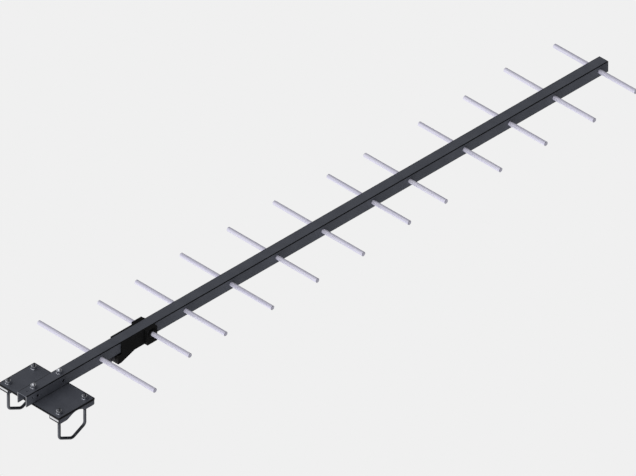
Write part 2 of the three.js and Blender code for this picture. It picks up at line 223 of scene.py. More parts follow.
def new_group(name, inputs, outputs):
    """A shader node group with named sockets. Each socket is a name with its kind and, for an
    input, the value it starts from."""
    group = bpy.data.node_groups.new(name, "ShaderNodeTree")
    for label, kind, value in inputs:
        socket = group.interface.new_socket(label, in_out="INPUT", socket_type=kind)
        if value is not None:
            socket.default_value = value
    for label, kind in outputs:
        group.interface.new_socket(label, in_out="OUTPUT", socket_type=kind)
    return group, add(group, "NodeGroupInput").outputs, add(group, "NodeGroupOutput").inputs


def shade(red, green, blue):
    """A colour given as 0 to 255 display values, in the linear values that shaders take."""
    display = np.array([red, green, blue]) / 255
    linear = np.where(display <= 0.04045, display / 12.92, ((display + 0.055) / 1.055) ** 2.4)
    return (*(float(value) for value in linear), 1.0)


def new_material(name):
    """A material with a Principled BSDF: its node tree, its shader and its Object coordinates."""
    material = bpy.data.materials.new(name)
    material.use_nodes = True
    tree = material.node_tree
    tree.nodes.clear()
    shader = add(tree, "ShaderNodeBsdfPrincipled")
    add(tree, "ShaderNodeOutputMaterial", {"Surface": shader.outputs[0]})
    return material, tree, shader, add(tree, "ShaderNodeTexCoord").outputs["Object"]


def feed(tree, shader, **sockets):
    """Sets or joins the shader's inputs. An underscore in a name stands for a space."""
    for key, value in sockets.items():
        socket = shader.inputs[key.replace("_", " ")]
        if isinstance(value, bpy.types.NodeSocket):
            tree.links.new(value, socket)
        else:
            socket.default_value = value


def mixed(tree, factor, low, high):
    """A colour between two, by a factor from 0 to 1."""
    made = add(tree, "ShaderNodeMix", {0: factor, 6: low, 7: high}, data_type="RGBA")
    return made.outputs[2]


def ranged(tree, value, from_low, from_high, to_low, to_high):
    """A value carried from one range to another, and kept inside it."""
    inputs = {0: value, 1: from_low, 2: from_high, 3: to_low, 4: to_high}
    return add(tree, "ShaderNodeMapRange", inputs, clamp=True).outputs[0]


def bumped(tree, height, distance, strength=1.0):
    """A normal turned by a height, whose full range stands for a distance in metres."""
    inputs = {"Height": height, "Distance": distance, "Strength": strength}
    return add(tree, "ShaderNodeBump", inputs).outputs[0]


def grain_group():
    """Two octaves of noise of one scale for the height, and a noise forty times as wide for a
    slow change of tone."""
    group, given, taken = new_group(
        "grain",
        [("Vector", "NodeSocketVector", None), ("Scale", "NodeSocketFloat", 900.0)],
        [("Height", "NodeSocketFloat"), ("Tone", "NodeSocketFloat")],
    )
    fine = add(group, "ShaderNodeTexNoise",
               {"Vector": given["Vector"], "Scale": given["Scale"], "Detail": 2.0})
    wide_scale = reckon(group, "DIVIDE", given["Scale"], 40.0)
    wide = add(group, "ShaderNodeTexNoise",
               {"Vector": given["Vector"], "Scale": wide_scale, "Detail": 3.0})
    group.links.new(fine.outputs[0], taken["Height"])
    group.links.new(ranged(group, wide.outputs[0], 0.3, 0.7, 0.0, 1.0), taken["Tone"])
    return group


def edge_group():
    """A line along the edges of a box: of the distances to the box's three pairs of faces, the
    middle one is small only along an edge. The line is full where that distance is up to 0.55
    of the width, and has faded out at the width."""
    group, given, taken = new_group(
        "box edge",
        [("Vector", "NodeSocketVector", None), ("Centre", "NodeSocketVector", None),
         ("Half", "NodeSocketVector", None), ("Width", "NodeSocketFloat", 0.001)],
        [("Edge", "NodeSocketFloat")],
    )
    offset = add(group, "ShaderNodeVectorMath", {0: given["Vector"], 1: given["Centre"]},
                 operation="SUBTRACT").outputs[0]
    outward = add(group, "ShaderNodeVectorMath", {0: offset}, operation="ABSOLUTE").outputs[0]
    inset = add(group, "ShaderNodeVectorMath", {0: given["Half"], 1: outward},
                operation="SUBTRACT").outputs[0]
    x, y, z = add(group, "ShaderNodeSeparateXYZ", {0: inset}).outputs
    lower = reckon(group, "MINIMUM", x, y)
    upper = reckon(group, "MAXIMUM", x, y)
    second = reckon(group, "MAXIMUM", lower, reckon(group, "MINIMUM", upper, z))
    inner = reckon(group, "MULTIPLY", given["Width"], 0.55)
    group.links.new(ranged(group, second, inner, given["Width"], 1.0, 0.0), taken["Edge"])
    return group


GRAIN = grain_group()
BOX_EDGE = edge_group()
edge_dark = shade(14, 15, 19)


def grained(tree, place, scale):
    """The grain, placed in a material at a scale of its own."""
    return add(tree, "ShaderNodeGroup", {"Vector": place, "Scale": scale}, node_tree=GRAIN)


def edge_line(tree, place, low, high, width):
    """The line along the edges of the box from low to high, all in millimetres."""
    inputs = {"Vector": place, "Centre": tuple((low + high) / 2 * MM),
              "Half": tuple((high - low) / 2 * MM), "Width": width * MM}
    return add(tree, "ShaderNodeGroup", inputs, node_tree=BOX_EDGE).outputs["Edge"]


def graphite_coat(name, low, high, edge_width, bare_highlight_from_x=None):
    """Satin powder coat: a fine orange peel, a slow change of tone, and a darker line where
    the coat thins along the edges of the box from low to high. Where a sawn face is given,
    the side walls' ends behind it are bare, sawn aluminium, painted light as a painted highlight
    too."""
    material, tree, shader, place = new_material(name)
    grain = grained(tree, place, 1400.0)
    edge = edge_line(tree, place, low, high, edge_width)
    coat = mixed(tree, grain.outputs["Tone"], shade(88, 91, 100), shade(97, 100, 109))
    colour = mixed(tree, edge, coat, edge_dark)
    rough = ranged(tree, grain.outputs["Tone"], 0.0, 1.0, 0.40, 0.50)
    metallic = 0.0
    if bare_highlight_from_x is not None:
        # The sawn wall ends are painted as light bare metal: bare aluminium, and a painted
        # highlight as well.
        x, y, _ = add(tree, "ShaderNodeSeparateXYZ", {0: place}).outputs
        side_wall = reckon(tree, "GREATER_THAN", reckon(tree, "ABSOLUTE", y),
                           (boom_half - boom_wall) * MM)
        bare_and_highlight = reckon(tree, "MULTIPLY", reckon(tree, "LESS_THAN", x, bare_highlight_from_x * MM), side_wall)
        marks = add(tree, "ShaderNodeMapping", {"Vector": place, "Scale": (1.0, 1.0, 14.0)})
        saw = add(tree, "ShaderNodeTexNoise", {"Vector": marks.outputs[0], "Scale": 260.0})
        highlight_metal = mixed(tree, saw.outputs[0], shade(112, 113, 117), shade(152, 153, 157))
        colour = mixed(tree, bare_and_highlight, colour, highlight_metal)
        metallic = reckon(tree, "MULTIPLY", bare_and_highlight, 0.35)
    feed(tree, shader, Base_Color=colour, Roughness=rough, Metallic=metallic,
         Specular_IOR_Level=0.14, Normal=bumped(tree, grain.outputs["Height"], 0.00006, 0.6))
    return material


boom_wall = 2.0
boom_corner = 1.0
boom_inner_corner = 0.5
boom_low, boom_high = span("boom")
boom_half = (boom_high[2] - boom_low[2]) / 2
boom_z = (boom_high[2] + boom_low[2]) / 2
rod_radius = (span("reflector")[1][2] - span("reflector")[0][2]) / 2
rod_names = ["reflector"] + [f"director_{number}" for number in range(1, 11)]

outer_walls = rounded_rectangle(boom_half, boom_half, boom_corner)
inner_walls = rounded_rectangle(boom_half - boom_wall, boom_half - boom_wall,
                                boom_inner_corner)
tube_rows = [(outer_walls, boom_low[0]), (outer_walls, boom_high[0]),
             (inner_walls, boom_high[0]), (inner_walls, boom_low[0])]
tube = skin("boom_tube", np.stack([
    lay_along("X", outline[:, 0], outline[:, 1] + boom_z, x) for outline, x in tube_rows
]), wrap_rows=True)


def side_holes(x, z, radius):
    """One cutting bar for each side wall of the boom."""
    reach = (boom_half - boom_wall - 1, boom_half + 1)
    return [drawn_out(circle(x, z, radius), sign * reach[0], sign * reach[1], "Y")
            for sign in (-1, 1)]


def upright_hole(x, radius, sign):
    """One cutting bar for the top wall of the boom, or for its bottom wall."""
    near, far = sign * (boom_half - boom_wall - 1), sign * (boom_half + 1)
    return drawn_out(circle(x, 0, radius), boom_z + near, boom_z + far, "Z")


rod_clearance = 0.1
screw_hole_radius = 2.1
cross_hole_radius = 3.575
bolt_hole_radius = 3.45
feed_hole_radius = 7.3
tie_hole_radius = 2.25
tie_side_x, tie_side_z, tie_top_x = -49, boom_z + 2, -52

boom_cuts = []
for name in rod_names:
    rod_x = middle(name)[0]
    boom_cuts += side_holes(rod_x, boom_z, rod_radius + rod_clearance)
    boom_cuts.append(upright_hole(rod_x, screw_hole_radius, -1))
for end in ("rear", "front"):
    bolt_x = middle(f"boom_bolt_{end}")[0]
    boom_cuts += side_holes(bolt_x, boom_z, cross_hole_radius)
    boom_cuts += [upright_hole(bolt_x, bolt_hole_radius, sign) for sign in (1, -1)]
dipole_x = middle("dipole_left")[0]
boom_cuts += side_holes(dipole_x, boom_z, feed_hole_radius)
boom_cuts += side_holes(tie_side_x, tie_side_z, tie_hole_radius)
boom_cuts.append(upright_hole(tie_top_x, tie_hole_radius, 1))
through_underside = (boom_low[2] - 1, boom_low[2] + boom_wall + 0.5)
notch_length, notch_overrun, notch_corner = 19, 4, 0.4
notch = rounded_rectangle((notch_length + notch_overrun) / 2, boom_half - boom_wall, notch_corner)
notch[:, 0] += boom_low[0] + notch_length / 2 - notch_overrun / 2
boom_cuts.append(drawn_out(notch, *through_underside, "Z"))
slot_half_x, slot_half_y, slot_corner = 4, 8.6, 1.2
strap_slot = rounded_rectangle(slot_half_x, slot_half_y, slot_corner) + [dipole_x, 0]
boom_cuts.append(drawn_out(strap_slot, *through_underside, "Z"))

# The coat's box runs on past both ends, so that no dark line crosses the boom there.
past_end = np.array([50, 0, 0])
boom_coat = graphite_coat("graphite coat, boom", boom_low - past_end, boom_high + past_end,
                          edge_width=2.1, bare_highlight_from_x=boom_low[0] + 0.2)
boom = stand_for("boom", combined(tube, boom_cuts, "DIFFERENCE"), boom_coat)
ease_edges(boom, 0.2)

# ---- Front plug ----
# Moulded black plastic cap: a slightly domed flange over the tube's end, and behind it a square
# sleeve that is pressed into the tube.


def black_plastic(name, grain_scale, tone):
    """Moulded plastic: a spark-eroded grain, and a tone that changes slowly."""
    material, tree, shader, place = new_material(name)
    grain = grained(tree, place, grain_scale)
    colour = mixed(tree, grain.outputs["Tone"], shade(tone - 3, tone - 3, tone - 3),
                   shade(tone + 4, tone + 4, tone + 5))
    rough = ranged(tree, grain.outputs["Height"], 0.3, 0.7, 0.46, 0.62)
    feed(tree, shader, Base_Color=colour, Roughness=rough, Specular_IOR_Level=0.10,
         Normal=bumped(tree, grain.outputs["Height"], 0.00008, 0.7))
    return material


cap_plastic = black_plastic("cap plastic", 1500.0, 26)
plug_low, plug_high = span("boom_front_plug")
flange_thickness = 1.6
sleeve_clearance = 0.15
sleeve_wall = 1.6
flange_rear_x = plug_high[0] - flange_thickness
sleeve_half = boom_half - boom_wall - sleeve_clearance
plug_rows = [
    (0.0, 0.1, plug_high[0]),
    (boom_half * 0.6, 1.0, plug_high[0] - 0.08),
    (boom_half - 1.1, 1.0, plug_high[0] - 0.3),
    (boom_half - 0.35, 1.0, plug_high[0] - 0.5),
    (boom_half, 1.0, plug_high[0] - 0.9),
    (boom_half, 1.0, flange_rear_x + 0.05),
    (sleeve_half, 0.5, flange_rear_x + 0.05),
    (sleeve_half, 0.5, plug_low[0] + 1.0),
    (sleeve_half - 0.4, 0.5, plug_low[0]),
    (sleeve_half - sleeve_wall, 0.5, plug_low[0]),
    (sleeve_half - sleeve_wall, 0.5, flange_rear_x),
    (0.0, 0.1, flange_rear_x),
]


def plug_row(half, corner, x):
    """One square ring of the plug, shrunk to a point where its half size is nothing."""
    ring = rounded_rectangle(max(half, corner), max(half, corner), corner)
    ring = ring * (half > 0)
    return lay_along("X", ring[:, 0], ring[:, 1] + boom_z, x)


plug_mesh = skin("boom_front_plug", np.stack([plug_row(*row) for row in plug_rows]))
stand_for("boom_front_plug", plug_mesh, cap_plastic)

# ---- Reflector, directors and dipole rods ----
# Drawn aluminium rod, cut to length and chamfered at both ends. The elements pass through the
# boom; the dipole's two halves start inside it, at the feed straps.


def turned(name, axis, centre_p, centre_q, radius, along, sides=48, wrap_rows=False):
    """A profile turned about an axis: each point lies at its row's radius from the axis, at its
    column's angle, and at its row's distance along. Radius and distance may change with the
    angle as well, as (rows, columns) arrays."""
    radius = np.asarray(radius, float)
    along = np.asarray(along, float)
    if radius.ndim == 1:
        radius = radius[:, None]
    if along.ndim == 1:
        along = along[:, None]
    angle = np.arange(sides)[None, :] * 2 * np.pi / sides
    radius, along, angle = np.broadcast_arrays(radius, along, angle)
    points = lay_along(axis, centre_p + radius * np.cos(angle),
                       centre_q + radius * np.sin(angle), along)
    return skin(name, points, wrap_rows=wrap_rows, radial=radius)


def lines_group():
    """Noise stretched along one axis, as the marks that a drawing die leaves: a narrow noise
    for the height and a wide one for streaks of tone."""
    group, given, taken = new_group(
        "drawn lines",
        [("Vector", "NodeSocketVector", None), ("Stretch", "NodeSocketVector", None),
         ("Scale", "NodeSocketFloat", 1800.0)],
        [("Lines", "NodeSocketFloat"), ("Streaks", "NodeSocketFloat")],
    )
    laid = add(group, "ShaderNodeVectorMath", {0: given["Vector"], 1: given["Stretch"]},
               operation="MULTIPLY").outputs[0]
    fine = add(group, "ShaderNodeTexNoise",
               {"Vector": laid, "Scale": given["Scale"], "Detail": 2.0})
    wide_scale = reckon(group, "DIVIDE", given["Scale"], 6.0)
    wide = add(group, "ShaderNodeTexNoise",
               {"Vector": laid, "Scale": wide_scale, "Detail": 2.0})
    group.links.new(fine.outputs[0], taken["Lines"])
    group.links.new(ranged(group, wide.outputs[0], 0.35, 0.65, 0.0, 1.0), taken["Streaks"])
    return group


DRAWN_LINES = lines_group()


def lined(tree, place, stretch, scale):
    """The drawn lines, placed in a material with a stretch and a scale of their own."""
    inputs = {"Vector": place, "Stretch": stretch, "Scale": scale}
    return add(tree, "ShaderNodeGroup", inputs, node_tree=DRAWN_LINES)


def drawn_aluminium():
    """Clear anodised rod: drawing lines along it, facing rings on its cut ends, where the
    distance from the axis changes, and a slightly darker chamfer."""
    material, tree, shader, place = new_material("drawn aluminium")
    lines = lined(tree, place, (1.0, 0.004, 1.0), 1500.0)
    grain = grained(tree, place, 700.0)
    from_axis = add(tree, "ShaderNodeAttribute", attribute_name="radial").outputs["Fac"]
    rings = reckon(tree, "SINE", reckon(tree, "MULTIPLY", from_axis, 22000.0))
    end_face = reckon(tree, "LESS_THAN", from_axis, (rod_radius - 0.02) * MM)
    rings = reckon(tree, "MULTIPLY", rings, end_face)
    height = reckon(tree, "ADD", lines.outputs["Lines"], reckon(tree, "MULTIPLY", rings, 0.25))
    rim = ranged(tree, from_axis, (rod_radius - 0.55) * MM, (rod_radius - 0.25) * MM, 0.0, 1.0)
    rim = reckon(tree, "MULTIPLY", rim, end_face)
    mark = reckon(tree, "ADD", reckon(tree, "MULTIPLY", lines.outputs["Streaks"], 0.45),
                  reckon(tree, "MULTIPLY", lines.outputs["Lines"], 0.55))
    streaked = mixed(tree, mark, shade(198, 196, 219), shade(246, 244, 255))
    toned = mixed(tree, reckon(tree, "MULTIPLY", grain.outputs["Tone"], 0.35), streaked,
                  shade(214, 212, 236))
    colour = mixed(tree, rim, toned, shade(70, 72, 84))
    rough = ranged(tree, lines.outputs["Lines"], 0.3, 0.7, 0.28, 0.46)
    feed(tree, shader, Base_Color=colour, Roughness=rough, Metallic=0.08,
         Specular_IOR_Level=0.08, Normal=bumped(tree, height, 0.00002, 0.4))
    return material


rod_metal = drawn_aluminium()
rod_chamfer = 0.5
for name in rod_names + ["dipole_left", "dipole_right"]:
    low, high = span(name)
    centre = middle(name)
    inner = rod_radius - rod_chamfer
    rod = turned(name, "Y", centre[0], centre[2],
                 [0, inner, rod_radius, rod_radius, inner, 0],
                 [low[1], low[1], low[1] + rod_chamfer, high[1] - rod_chamfer, high[1], high[1]])
    stand_for(name, rod, rod_metal)

# ---- Element screws ----
# Zinc-plated pan-head screws with a hexagon socket, driven up through the boom's underside.
# Each one's tip bears on its rod.


def hexagon_radius(across_flats, sides):
    """Distance from a hexagon's middle to its side, at even angles: half the width across
    flats over the cosine of the angle to the nearest flat's middle."""
    angle = np.arange(sides) * 2 * np.pi / sides
    from_flat = (angle % (np.pi / 3)) - np.pi / 6
    return across_flats / 2 / np.cos(from_flat)


def plated_steel(name, dark, light, roughness):
    """Zinc plate: brushed in places, with a slow change of tone."""
    material, tree, shader, place = new_material(name)
    grain = grained(tree, place, 2600.0)
    lines = lined(tree, place, (1.0, 1.0, 0.08), 1500.0)
    tone = reckon(tree, "MULTIPLY",
                  reckon(tree, "ADD", grain.outputs["Tone"], lines.outputs["Streaks"]), 0.5)
    colour = mixed(tree, tone, dark, light)
    rough = ranged(tree, tone, 0.0, 1.0, roughness + 0.08, roughness - 0.04)
    feed(tree, shader, Base_Color=colour, Roughness=rough, Metallic=1.0,
         Normal=bumped(tree, grain.outputs["Height"], 0.00002, 0.5))
    return material


nut_steel = plated_steel("bright zinc", shade(196, 198, 204), shade(232, 234, 240), 0.20)
bar_steel = plated_steel("dull zinc", shade(78, 80, 86), shade(104, 106, 112), 0.34)


def pan_screw(name, axis, centre_p, centre_q, tip, top, head_radius, head_height, shank):
    """A pan-head screw. From the middle of its hexagon socket the profile runs up the socket's
    wall, over the crown of the head, under the head and along the shank to a chamfered tip."""
    sides = 36
    towards_tip = math.copysign(1, tip - top)
    socket = hexagon_radius(head_radius * 0.72, sides)
    ones = np.ones(sides)
    rows = [
        (0 * ones, 0.6), (socket, 0.6), (socket, 0.06), (socket + 0.12, 0.0),
        (0.66 * head_radius * ones, 0.0), (0.84 * head_radius * ones, 0.06),
        (0.95 * head_radius * ones, 0.2), (head_radius * ones, 0.45),
        (head_radius * ones, 0.95), (0.97 * head_radius * ones, 1.0), (shank * ones, 1.0),
    ]
    radius = [radius for radius, depth in rows] + [shank * ones, 0.7 * shank * ones, 0 * ones]
    along = [top + towards_tip * head_height * depth for radius, depth in rows]
    along += [tip - towards_tip * 0.3 * shank, tip, tip]
    return turned(name, axis, centre_p, centre_q, np.array(radius), along, sides)


for name in rod_names:
    low, high = span(f"{name}_screw")
    centre = middle(f"{name}_screw")
    screw = pan_screw(f"{name}_screw", "Z", centre[0], centre[1], high[2], low[2],
                      head_radius=3.8, head_height=2.4, shank=2.0)
    stand_for(f"{name}_screw", screw, nut_steel)

# ---- Mount plate ----
# Flat aluminium plate, sheared and drilled, with the same graphite powder coat as the boom. It
# is bolted under the boom's rear end and carries the mast clamps.

plate_low, plate_high = span("mount_plate")
plate_middle = (plate_low + plate_high) / 2
plate_half = (plate_high - plate_low) / 2
plate_corner = 2.5
plate_hole_radius = 3.5
plate = drawn_out(
    rounded_rectangle(plate_half[0], plate_half[1], plate_corner, 8) + plate_middle[:2],
    plate_low[2], plate_high[2], "Z",
)
bolt_places = [(middle(f"boom_bolt_{end}_nut")[0], y)
               for end in ("rear", "front")
               for y in (middle("u_bolt_right")[1], 0.0, middle("u_bolt_left")[1])]
plate_cuts = [drawn_out(circle(x, y, plate_hole_radius), plate_low[2] - 1, plate_high[2] + 1, "Z")
              for x, y in bolt_places]
plate_coat = graphite_coat("graphite coat, plate", plate_low, plate_high, edge_width=2.6)
plate_piece = stand_for("mount_plate", combined(plate, plate_cuts, "DIFFERENCE"), plate_coat)
ease_edges(plate_piece, 0.4, 3)

# ---- Nuts, washers and boom bolts ----
# Quarter-inch hexagon bolts with a coarse thread, zinc plated. Two hold the plate to the boom,
# with the head under the plate and a nut on a washer on top of the boom.

bolt_radius = 3.175
thread_pitch = 1.27
thread_depth = 0.62
across_flats = 11.1
bore_chamfer = 0.45
tip_chamfer = 0.9
bolt_head_height = 4.2
bolt_thread_length = 14.0
washer_radius = 6.4


def hexagon_end(sides, share):
    """A hexagon's own radius at even angles, the radius of the round face at its end as a share
    of its flats, and how far a thirty-degree cone cuts its sides short of that face."""
    corner = hexagon_radius(across_flats, sides)
    face = across_flats / 2 * share
    return corner, face, np.maximum(corner - face, 0) * math.tan(math.radians(30))


def hex_nut(name, x, y, low_z, high_z):
    """A hexagon nut. Its sides stop where they meet a thirty-degree cone at each end, so each
    flat has a curved border, and the bore opens through a short chamfer."""
    sides = 72
    corner, face, fall = hexagon_end(sides, 0.97)
    bore = bolt_radius + 0.06
    ones = np.ones(sides)
    radius = [bore * ones, (bore + bore_chamfer) * ones, face * ones, corner,
              corner, face * ones, (bore + bore_chamfer) * ones, bore * ones]
    along = [(low_z + bore_chamfer) * ones, low_z * ones, low_z * ones, low_z + fall,
             high_z - fall, high_z * ones, high_z * ones, (high_z - bore_chamfer) * ones]
    return turned(name, "Z", x, y, np.array(radius), np.array(along), sides, wrap_rows=True)


def flat_washer(name, x, y, low_z, high_z, radius):
    """A stamped washer: a flat ring, its upper rim rolled over a little by the punch."""
    ease = 0.25
    bore = bolt_radius + 0.2
    return turned(name, "Z", x, y,
                  [bore, bore + 0.1, radius - 0.1, radius, radius, radius - ease,
                   bore + ease, bore],
                  [low_z + 0.1, low_z, low_z, low_z + 0.1, high_z - ease, high_z,
                   high_z, high_z - ease],
                  wrap_rows=True)


def thread_cut(turns):
    """How far a thread is cut into its rod, from 0 on the crest to 1 in the root, after a
    number of turns: a triangle wave with its tips cut flat."""
    wave = np.abs(2 * (turns % 1.0) - 1)
    return np.clip(1.3 * wave - 0.15, 0, 1)


def hex_bolt(name, x, y, low_z, high_z, head_height, thread_length):
    """A hexagon bolt with its head below: the head as a nut's lower half, then the shank, and a
    thread that fades in over one turn and ends in a chamfered tip."""
    sides = 48
    corner, face, fall = hexagon_end(sides, 0.95)
    ones = np.ones(sides)
    head_z = low_z + head_height
    radius = [0 * ones, face * ones, corner, corner, bolt_radius * ones]
    along = [low_z * ones, low_z * ones, low_z + fall, head_z * ones, head_z * ones]
    z = np.arange(high_z - thread_length, high_z, thread_pitch / 10)[:, None]
    angle = np.arange(sides)[None, :] * 2 * np.pi / sides
    turns = z / thread_pitch - angle / (2 * np.pi)
    fade = np.clip((z - z[0]) / thread_pitch, 0, 1)
    threaded = bolt_radius - thread_depth * thread_cut(turns) * fade
    threaded = np.minimum(threaded, bolt_radius - tip_chamfer + (high_z - z))
    radius = np.vstack([radius, threaded, [(bolt_radius - tip_chamfer) * ones, 0 * ones]])
    along = np.vstack([along, z * ones, [high_z * ones, high_z * ones]])
    return turned(name, "Z", x, y, radius, along, sides)


def place_nut_and_washer(name):
    """The fine nut and washer for one threaded end. The nut turns on a body of its own."""
    low, high = span(f"{name}_nut")
    centre = middle(f"{name}_nut")
    nut = hex_nut(f"{name}_nut", centre[0], centre[1], low[2], high[2])
    stand_for(f"{name}_nut", nut, nut_steel, f"{name}_nut")
    low, high = span(f"{name}_washer")
    washer = flat_washer(f"{name}_washer", centre[0], centre[1], low[2], high[2],
                         washer_radius)
    stand_for(f"{name}_washer", washer, nut_steel)


for end in ("rear", "front"):
    name = f"boom_bolt_{end}"
    low, high = span(name)
    centre = middle(name)
    bolt = hex_bolt(name, centre[0], centre[1], low[2], high[2], bolt_head_height,
                    bolt_thread_length)
    stand_for(name, bolt, nut_steel, name)
    place_nut_and_washer(name)

# ---- U-bolts ----
# Quarter-inch steel rod bent to two upright legs and a shallow V that grips the mast from below.
# Both legs are threaded and pass up through a saddle and the plate to a washer and nut.

leg_x = middle("u_bolt_left_front_nut")[0]
leg_tip_z = span("u_bolt_left")[1][2]
u_corner_z = -21.5
u_lowest_z = -38.7
u_thread_length = 38.0
u_corner_radius = 9.5
u_vertex_radius = 13


def bend(before, corner, after, radius, steps):
    """Points of a round bend between two straight runs. The bend starts radius over the tangent
    of half the opening before the corner, and its middle lies on the opening's bisector."""
    before, corner, after = (np.array(point, float) for point in (before, corner, after))
    inbound = (before - corner) / np.linalg.norm(before - corner)
    outbound = (after - corner) / np.linalg.norm(after - corner)
    half = math.acos(np.clip(inbound @ outbound, -1, 1)) / 2
    bisector = (inbound + outbound) / np.linalg.norm(inbound + outbound)
    centre = corner + bisector * radius / math.sin(half)
    start = corner + inbound * radius / math.tan(half) - centre
    finish = corner + outbound * radius / math.tan(half) - centre
    sweep = math.acos(np.clip(start @ finish / radius ** 2, -1, 1))
    sweep = math.copysign(sweep, start[0] * finish[1] - start[1] * finish[0])
    turn = np.linspace(0, sweep, steps)[:, None]
    across = np.array([-start[1], start[0]])
    return centre + np.cos(turn) * start + np.sin(turn) * across


def u_bolt_line():
    """The centre line in X and Z: fine steps down the threaded part of a leg, then the leg, the
    corner bend and half of the V, and the same again mirrored."""
    threaded = np.arange(leg_tip_z, leg_tip_z - u_thread_length, -thread_pitch / 10)
    leg = np.stack([np.full(len(threaded), -leg_x), threaded], axis=-1)
    corner = bend((-leg_x, 0), (-leg_x, u_corner_z), (0, u_lowest_z), u_corner_radius, 12)
    vertex = bend((-leg_x, u_corner_z), (0, u_lowest_z), (leg_x, u_corner_z),
                  u_vertex_radius, 9)
    half = np.vstack([leg, [[-leg_x, 0.0]], corner])
    return np.vstack([half, vertex, half[::-1] * [-1, 1]])


def u_bolt_mesh(name, y):
    """A round section carried along the centre line: each ring lies across the line, between Y
    and the line's own normal, and the radius dips where the thread is cut."""
    sides = 24
    line = u_bolt_line()
    forward = np.gradient(line, axis=0)
    forward /= np.linalg.norm(forward, axis=1, keepdims=True)
    run = np.concatenate([[0], np.cumsum(np.linalg.norm(np.diff(line, axis=0), axis=1))])[:, None]
    from_end = np.minimum(run, run[-1] - run)
    angle = np.arange(sides)[None, :] * 2 * np.pi / sides
    fade = np.clip((u_thread_length - from_end) / thread_pitch, 0, 1)
    cut = thread_cut(run / thread_pitch - angle / (2 * np.pi))
    radius = bolt_radius - thread_depth * cut * fade
    radius = np.minimum(radius, bolt_radius - tip_chamfer + from_end)
    normal = np.stack([-forward[:, 1], forward[:, 0]], axis=-1)
    sideways = radius * np.cos(angle)
    inplane = radius * np.sin(angle)
    x = line[:, :1] + normal[:, :1] * inplane
    z = line[:, 1:] + normal[:, 1:] * inplane
    points = lay_along("Y", x, z, y + sideways)
    tips = [np.broadcast_to([line[i, 0], y, line[i, 1]], (1, sides, 3)) for i in (0, -1)]
    rings = np.vstack([np.zeros((1, sides)), radius, np.zeros((1, sides))])
    return skin(name, np.concatenate([tips[0], points, tips[1]]), radial=rings)


for side in ("left", "right"):
    name = f"u_bolt_{side}"
    stand_for(name, u_bolt_mesh(name, middle(name)[1]), bar_steel, name)
    for end in ("rear", "front"):
        place_nut_and_washer(f"{name}_{end}")

# ---- Saddles ----
# Cast aluminium blocks with a notch that the mast beds in, coated like the plate, with light
# milled metal painted on their end faces as a painted highlight. The U-bolt's legs hold each one
# up against the plate.


def bezier(points, steps):
    """A cubic Bezier curve: each of four points is weighted by its own term of the cube of the
    sum of 1 - t and t, as t runs from 0 to 1."""
    t = np.linspace(0, 1, steps)[:, None]
    p0, p1, p2, p3 = (np.array(point, float) for point in points)
    s = 1 - t
    return s ** 3 * p0 + 3 * s * s * t * p1 + 3 * s * t * t * p2 + t ** 3 * p3


saddle_low, saddle_high = span("saddle_left")
saddle_half = (saddle_high[0] - saddle_low[0]) / 2
notch_half = 25.7
notch_apex_z = saddle_low[2] + 9.6
saddle_ease = 3.0
leg_hole_radius = 3.575
face_border = 2.6
ease_turn = np.linspace(np.pi, 1.5 * np.pi, 7)
saddle_corner = np.stack([
    saddle_ease - saddle_half + saddle_ease * np.cos(ease_turn),
    saddle_low[2] + saddle_ease + saddle_ease * np.sin(ease_turn),
], axis=-1)
saddle_notch = bezier([
    (-notch_half - saddle_ease, saddle_low[2]), (-notch_half + 4, saddle_low[2]),
    (-13, notch_apex_z), (0, notch_apex_z),
], 24)
saddle_side = np.vstack([[(-saddle_half, saddle_high[2])], saddle_corner, saddle_notch])
saddle_outline = np.vstack([saddle_side, saddle_side[-2::-1] * [-1, 1]])


def saddle_coat(name, low, high):
    """The graphite coat, with light milled metal painted on the block's two end faces as a painted
    highlight, and a dark line of coat left round each face's border."""
    material = graphite_coat(name, low - [0, 0, 6], high, edge_width=0.9)
    tree = material.node_tree
    shader = next(node for node in tree.nodes if node.type == "BSDF_PRINCIPLED")
    place = next(node for node in tree.nodes if node.type == "TEX_COORD").outputs["Object"]
    # The end faces are painted as light milled metal: a painted highlight.
    x = add(tree, "ShaderNodeSeparateXYZ", {0: place}).outputs[0]
    outward = reckon(tree, "ABSOLUTE", x)
    bare_and_highlight = reckon(tree, "GREATER_THAN", outward, (high[0] - 0.25) * MM)
    lines = lined(tree, place, (1.0, 0.05, 1.0), 900.0)
    milled = reckon(tree, "ADD", reckon(tree, "MULTIPLY", lines.outputs["Streaks"], 0.5),
                    reckon(tree, "MULTIPLY", lines.outputs["Lines"], 0.5))
    highlight_metal = mixed(tree, milled, shade(166, 167, 170), shade(224, 225, 228))
    border = edge_line(tree, place, low + [0, 0, saddle_ease], high, face_border)
    face = mixed(tree, border, highlight_metal, edge_dark)
    coat = shader.inputs["Base Color"].links[0].from_socket
    feed(tree, shader, Base_Color=mixed(tree, bare_and_highlight, coat, face),
         Metallic=reckon(tree, "MULTIPLY", bare_and_highlight, 0.35))
    return material


for side in ("left", "right"):
    name = f"saddle_{side}"
    low, high = span(name)
    block = drawn_out(saddle_outline, low[1], high[1], "Y")
    leg_holes = [drawn_out(circle(x, middle(name)[1], leg_hole_radius), low[2] - 1, high[2] + 1,
                           "Z") for x in (-leg_x, leg_x)]
    material = saddle_coat(f"graphite coat, saddle {side}", low, high)
    saddle = stand_for(name, combined(block, leg_holes, "DIFFERENCE"), material,
                       name)
    ease_edges(saddle, 0.5, 3)

# ---- Dipole bushes ----
# Turned from black plastic: a sleeve that insulates the dipole from the boom, and a collar that
# rests on the housing's boss.

